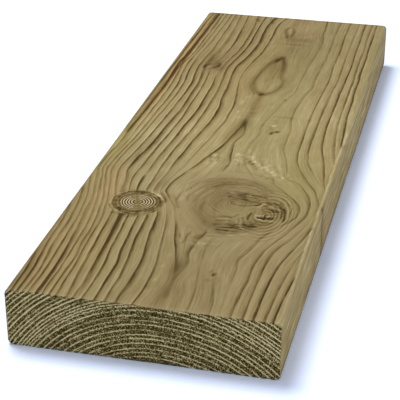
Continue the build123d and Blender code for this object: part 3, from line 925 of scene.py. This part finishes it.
def make_plank():
    """The plank: the divided blank, eased, carved with its grain and painted with its growth."""
    blank = cut_blank()
    for oval, reach in FINER_OVALS:
        divide_where(blank, on_top_near(oval, reach))
    at = places(blank)
    shaped = worn_arris(at, ease_long_edges(at))
    for vert, place in zip(blank.verts, shaped):
        vert.co = place
    blank.normal_update()
    normal = np.array([v.normal[:] for v in blank.verts])
    wood = grain_of(shaped, normal)
    carved = shaped - normal * relief(shaped, normal, wood)[:, None]
    carved = np.clip(carved, 0, (WIDTH, LENGTH, THICKNESS))
    corner = np.array(low_corner[:]) / MM
    for vert, place in zip(blank.verts, carved):
        vert.co = (place + corner) * MM
    blank.normal_update()
    for edge in blank.edges:
        edge.smooth = edge.calc_face_angle(0) < SMOOTH_ANGLE
    for face in blank.faces:
        face.smooth = True
    mesh = bpy.data.meshes.new("plank_wood")
    blank.to_mesh(mesh)
    blank.free()
    for name, values in wood.items():
        paint(mesh, name, values)
    facing = np.array([face.normal[:] for face in mesh.polygons])
    paint(mesh, "end_grain", (np.abs(facing[:, 1]) > 0.8).astype(float), "FACE")
    return stand("plank_wood", mesh)


def stand(name, data):
    """Puts a mesh, a lamp or a camera in the scene."""
    placed = bpy.data.objects.new(name, data)
    bpy.context.scene.collection.objects.link(placed)
    return placed


def linear(red, green, blue):
    """A colour as a paint card gives it, from 0 to 255, made ready for a shader."""
    share = np.array((red, green, blue)) / 255
    return (*np.where(share <= 0.04045, share / 12.92, ((share + 0.055) / 1.055) ** 2.4), 1.0)


# The studio: its floor, its lamps, and the camera at the photograph's own place
FLOOR_SIZE = 8.0
# The floor turns as white as the backdrop between these distances from the board's middle
FLOOR_FADES = (0.7, 1.3)
ROOM_LIGHT = 0.26
# Soft round lamps that point at the board: (name, place, across, watts, colour)
LAMPS = [
    ("key", (-0.53, 0.25, 1.91), 0.9, 24.5, (1.0, 0.985, 0.96)),
    ("fill", (1.6, -1.4, 0.62), 1.0, 12.0, (1.0, 1.0, 0.97)),
]
CAMERA_PLACE = (0.21818, -1.03108, 0.50625)
CAMERA_TILT = math.radians(63.27)
CAMERA_TURN = math.radians(13.66)
LENS = 118.1
SENSOR_WIDTH = 36.0

# Colours from the palest wood to the darkest, as a paint card gives them
FACE_COLOURS = [
    (0.0, (212, 196, 156)),
    (0.2, (180, 163, 119)),
    (0.4, (160, 142, 98)),
    (0.6, (136, 117, 76)),
    (0.8, (105, 87, 48)),
    (1.0, (70, 53, 21)),
]
END_COLOURS = [
    (0.0, (226, 215, 172)),
    (0.25, (170, 159, 117)),
    (0.5, (122, 112, 71)),
    (0.8, (72, 62, 28)),
    (1.0, (42, 33, 9)),
]
# How far each mark darkens the upper face and the sides
LINE_WEIGHT = 0.92
# The painted highlight beside each line lightens instead
PAINTED_HIGHLIGHT_WEIGHT = -0.12
FIBRE_WEIGHT = 0.52
FINE_FIBRE_WEIGHT = 0.48
BLOTCH_WEIGHT = 0.22
KNOT_RING_WEIGHT = 0.30
# Gaps between the close rings of the knots, and of the pale fibres at the round one's heart
KNOT_RING_GAP = 2.8
SPARK_GAP = 2.15
# The height of a bump value of 1, in metres
BUMP_HEIGHT = 0.0004


class Finish:
    """A finish or a backdrop being mixed. Each step adds nodes and gives back the last one's output."""

    def __init__(self, owner):
        owner.use_nodes = True
        self.tree = owner.node_tree
        self.tree.nodes.clear()

    def add(self, kind, inputs=None, **settings):
        """Adds one node, sets or links its inputs, and gives back the node."""
        node = self.tree.nodes.new(kind)
        for key, value in settings.items():
            setattr(node, key, value)
        for key, value in (inputs or {}).items():
            if isinstance(value, bpy.types.NodeSocket):
                self.tree.links.new(value, node.inputs[key])
            else:
                node.inputs[key].default_value = value
        return node

    def math(self, operation, *values):
        return self.add("ShaderNodeMath", dict(enumerate(values)), operation=operation).outputs[0]

    def total(self, *values):
        result = values[0]
        for value in values[1:]:
            result = self.math("ADD", result, value)
        return result

    def product(self, *values):
        result = values[0]
        for value in values[1:]:
            result = self.math("MULTIPLY", result, value)
        return result

    def rest_of(self, share):
        """What is left of 1."""
        return self.math("SUBTRACT", 1.0, share)

    def read(self, name, output="Fac"):
        """A value that the mesh carries."""
        return self.add("ShaderNodeAttribute", attribute_name=name).outputs[output]

    def ease(self, value, start, end, low=0.0, high=1.0):
        """Goes smoothly from low at start to high at end."""
        inputs = {"Value": value, "From Min": start, "From Max": end, "To Min": low, "To Max": high}
        return self.add("ShaderNodeMapRange", inputs, interpolation_type="SMOOTHSTEP").outputs[0]

    def drop(self, value, start, end):
        """Goes smoothly from 1 at start to 0 at end."""
        return self.ease(value, start, end, 1.0, 0.0)

    def cloud(self, vector, scale, detail=2.0, roughness=0.5):
        """Cloudy noise about 0, from -0.5 to 0.5."""
        scaled = self.add("ShaderNodeVectorMath", {0: vector, 1: scale}, operation="MULTIPLY").outputs[0]
        inputs = {"Vector": scaled, "Scale": 1.0, "Detail": detail, "Roughness": roughness}
        made = self.add("ShaderNodeTexNoise", inputs, noise_dimensions="3D").outputs[0]
        return self.math("SUBTRACT", made, 0.5)

    def ramp(self, value, stops):
        """The colour at a value, from a row of stops."""
        node = self.add("ShaderNodeValToRGB", {0: value})
        band = node.color_ramp
        while len(band.elements) < len(stops):
            band.elements.new(1.0)
        for element, (place, colour) in zip(band.elements, stops):
            element.position = place
            element.color = linear(*colour)
        return node.outputs[0]

    def seen(self):
        """1 where the camera looks, straight or by way of something shiny or clear, and 0 for light."""
        path = self.add("ShaderNodeLightPath").outputs
        straight = self.math("MAXIMUM", path["Is Camera Ray"], path["Is Glossy Ray"])
        return self.math("MAXIMUM", straight, path["Is Transmission Ray"])

    def blend(self, share, first, second):
        """The first surface where share is 0, and the second where it is 1."""
        return self.add("ShaderNodeMixShader", {0: share, 1: first.outputs[0], 2: second.outputs[0]})


def ring_lines(finish, grain):
    """The dark line of each growth ring, and a painted highlight just outside it."""
    total, product, drop = finish.total, finish.product, finish.drop
    gap = finish.read("ring_gap")
    strength = finish.read("line_strength")
    breadth = finish.read("line_breadth")
    wobble = finish.math("DIVIDE", product(finish.cloud(grain, (0.3, 0.035, 0.3)), 1.8), gap)
    ring = finish.math("FRACT", total(finish.read("ring"), wobble))
    # Each line darkens slowly towards its outer side and stops short there
    inside = product(finish.rest_of(ring), gap)
    outside = product(ring, gap)
    broad = product(drop(inside, 0.0, 5.5), breadth)
    narrow = product(drop(inside, 0.0, 2.3), finish.rest_of(breadth))
    shaped = finish.math("MAXIMUM", total(broad, narrow), drop(outside, 0.0, 0.9))
    broken = total(1.0, product(finish.cloud(grain, (0.9, 0.07, 0.9), 4.0, 0.65), 2.2))
    line = product(shaped, strength, broken)
    # A painted highlight just outside each line
    painted_highlight = product(drop(outside, 0.6, 2.8), strength, PAINTED_HIGHLIGHT_WEIGHT)
    return line, painted_highlight


def sawn_end(finish, place):
    """A sawn end: its colour, its specks, and its pale lines on a dark ground of torn fibres."""
    total, product, ease = finish.total, finish.product, finish.ease
    ring = finish.read("ring")
    gap = finish.read("ring_gap")
    apart = finish.add("ShaderNodeSeparateXYZ", {0: place}).outputs
    along_rings = finish.add("ShaderNodeCombineXYZ", {
        "X": product(ring, 3.3),
        "Y": product(apart["X"], 30.0),
        "Z": product(apart["Z"], 30.0),
    }).outputs[0]
    fine_line = finish.cloud(along_rings, (1.0, 1.0, 1.0), 1.0)
    uneven = finish.cloud(along_rings, (0.4, 1.4, 1.4))
    speck = finish.cloud(place, (1300.0, 1300.0, 1300.0), 1.0)
    pore = finish.cloud(place, (420.0, 420.0, 420.0))
    # One fine pale line after each ring's stop, fainter near the middle of the end
    shift = finish.math("DIVIDE", product(pore, 0.35), gap)
    outside = product(finish.math("FRACT", total(ring, shift)), gap)
    pale_line = product(ease(outside, 0.0, 0.35), finish.drop(outside, 0.75, 1.5))
    pale_line = product(pale_line, total(1.0, product(uneven, 2.8)))
    pale_line = total(pale_line, product(ease(fine_line, 0.08, 0.2), 0.55))
    off_middle = ease(finish.math("ABSOLUTE", apart["X"]), 0.012, 0.055, 0.68, 1.0)
    pale_line = product(pale_line, off_middle)
    darkness = total(
        product(pale_line, -0.80),
        product(speck, 2.8),
        product(pore, 0.6),
        product(fine_line, 0.5),
        0.74,
    )
    return finish.ramp(darkness, END_COLOURS), speck, pale_line


def treated_timber():
    """Pressure-treated softwood: olive-brown earlywood, darker latewood lines, sawn ends."""
    timber = bpy.data.materials.new("treated_timber")
    finish = Finish(timber)
    total, product, ease, cloud = finish.total, finish.product, finish.ease, finish.cloud
    grain = finish.read("grain", "Vector")
    place = finish.add("ShaderNodeTexCoord").outputs["Object"]

    # Growth rings, and fibres along the grain
    line, painted_highlight = ring_lines(finish, grain)
    fibre = cloud(grain, (0.62, 0.016, 0.62), 4.0, 0.62)
    fine_fibre = cloud(grain, (2.6, 0.07, 2.6), 3.0)
    blotch = cloud(grain, (0.09, 0.03, 0.09), 3.0)

    # Knots: close rings of their own, and pale crossed fibres in the round one
    knot_ring = finish.read("knot_ring")
    knot_wave = finish.math("SINE", product(knot_ring, 2 * math.pi / KNOT_RING_GAP))
    knot_wave = finish.math("MULTIPLY_ADD", knot_wave, 0.5, 0.25)
    knot_dark = product(knot_wave, finish.read("knot_show"), KNOT_RING_WEIGHT)
    spark_show = finish.read("knot_spark")
    spark_wave = finish.math("SINE", product(knot_ring, 2 * math.pi / SPARK_GAP))
    spark_break = total(0.9, product(cloud(place, (260.0, 260.0, 260.0)), 3.0))
    spark = product(ease(spark_wave, -0.1, 0.7), spark_show, spark_break, -1.55)
    spark_gap = product(ease(spark_wave, 0.1, -0.8), spark_show, 0.65)

    # Torn grain lies across the board, in dark streaks, and flakes are ragged
    torn = finish.read("torn")
    flakes = finish.read("flakes")
    streak = cloud(place, (90.0, 430.0, 90.0), 3.0, 0.6)
    flake = cloud(place, (170.0, 150.0, 170.0), 4.0, 0.65)
    darkness = total(
        finish.read("shade"),
        product(line, LINE_WEIGHT),
        painted_highlight,
        product(fibre, FIBRE_WEIGHT),
        product(fine_fibre, FINE_FIBRE_WEIGHT),
        product(blotch, BLOTCH_WEIGHT),
        knot_dark,
        spark,
        spark_gap,
        product(ease(streak, -0.06, 0.12), torn, 0.26),
        product(ease(streak, -0.03, -0.15), torn, -0.18),
        product(ease(flake, 0.02, 0.12), flakes, -0.26),
        product(ease(flake, -0.04, -0.15), flakes, 0.22),
    )

    # The face and the sawn ends, tinted
    end = finish.read("end_grain")
    face = finish.rest_of(end)
    end_colour, speck, pale_line = sawn_end(finish, place)
    both = {0: end, 6: finish.ramp(darkness, FACE_COLOURS), 7: end_colour}
    wood = finish.add("ShaderNodeMix", both, data_type="RGBA").outputs[2]
    tinting = {0: 1.0, 6: wood, 7: finish.read("tint", "Vector")}
    tinted = finish.add("ShaderNodeMix", tinting, data_type="RGBA", blend_type="MULTIPLY").outputs[2]

    height = total(
        product(fibre, face, 0.6),
        product(fine_fibre, face, 0.5),
        product(streak, torn, 1.6),
        product(flake, flakes, 0.8),
        product(speck, end, -0.8),
        product(pale_line, end, 0.9),
        product(spark, -0.8),
    )
    bump = finish.add("ShaderNodeBump", {"Strength": 0.5, "Distance": BUMP_HEIGHT, "Height": height})
    surface = finish.add("ShaderNodeBsdfPrincipled", {
        "Base Color": tinted,
        "Roughness": total(0.68, product(fibre, 0.15), product(line, -0.08), product(end, 0.16)),
        "Specular IOR Level": 0.06,
        "Normal": bump.outputs[0],
    })
    finish.add("ShaderNodeOutputMaterial", {"Surface": surface.outputs[0]})
    return timber


def pale_floor():
    """A plain pale floor that reads white round the board and still takes its shadow."""
    cover = bpy.data.materials.new("pale_floor")
    finish = Finish(cover)
    paper = finish.add("ShaderNodeBsdfDiffuse", {"Color": (0.84, 0.83, 0.78, 1.0)})
    white = finish.add("ShaderNodeBsdfDiffuse", {"Color": (1.27, 1.42, 1.88, 1.0)})
    # Far from the board the floor is as white as the backdrop, wherever the lamps reach
    glow = finish.add("ShaderNodeEmission")
    place = finish.add("ShaderNodeTexCoord").outputs["Object"]
    away = finish.add("ShaderNodeVectorMath", {0: place}, operation="LENGTH").outputs["Value"]
    shown = finish.blend(finish.ease(away, *FLOOR_FADES), white, glow)
    both = finish.blend(finish.seen(), paper, shown)
    finish.add("ShaderNodeOutputMaterial", {"Surface": both.outputs[0]})
    return cover


def lay_floor():
    """One large square sheet under the board."""
    sheet = bmesh.new()
    bmesh.ops.create_grid(sheet, x_segments=1, y_segments=1, size=FLOOR_SIZE)
    mesh = bpy.data.meshes.new("floor")
    sheet.to_mesh(mesh)
    sheet.free()
    mesh.materials.append(pale_floor())
    floor = stand("floor", mesh)


def light_studio():
    """Even white light from all round, a large soft lamp high on the left and a low one on the right."""
    world = bpy.data.worlds.new("studio")
    finish = Finish(world)
    even = finish.add("ShaderNodeBackground", {"Color": (0.95, 0.98, 1.0, 1.0), "Strength": ROOM_LIGHT})
    white = finish.add("ShaderNodeBackground", {"Color": (1.0, 1.0, 1.0, 1.0), "Strength": 1.0})
    both = finish.blend(finish.seen(), even, white)
    finish.add("ShaderNodeOutputWorld", {"Surface": both.outputs[0]})
    bpy.context.scene.world = world
    for name, place, across, watts, colour in LAMPS:
        lamp = bpy.data.lights.new(name, "AREA")
        lamp.shape = "DISK"
        lamp.size = across
        lamp.energy = watts
        lamp.color = colour
        hung = stand(name, lamp)
        hung.location = place
        hung.rotation_euler = (-hung.location).to_track_quat("-Z", "Y").to_euler()


def place_camera():
    """Stands where the photograph was taken: a long lens, turned a little left and looking down."""
    lens = bpy.data.cameras.new("camera")
    lens.sensor_width = SENSOR_WIDTH
    lens.lens = LENS
    camera = stand("camera", lens)
    camera.location = CAMERA_PLACE
    camera.rotation_euler = Euler((CAMERA_TILT, 0.0, CAMERA_TURN))
    bpy.context.scene.camera = camera


plank = make_plank()
plank.data.materials.append(treated_timber())
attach(plank, "root")
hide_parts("plank")
lay_floor()
light_studio()
place_camera()
bpy.context.scene.view_settings.view_transform = "Standard"
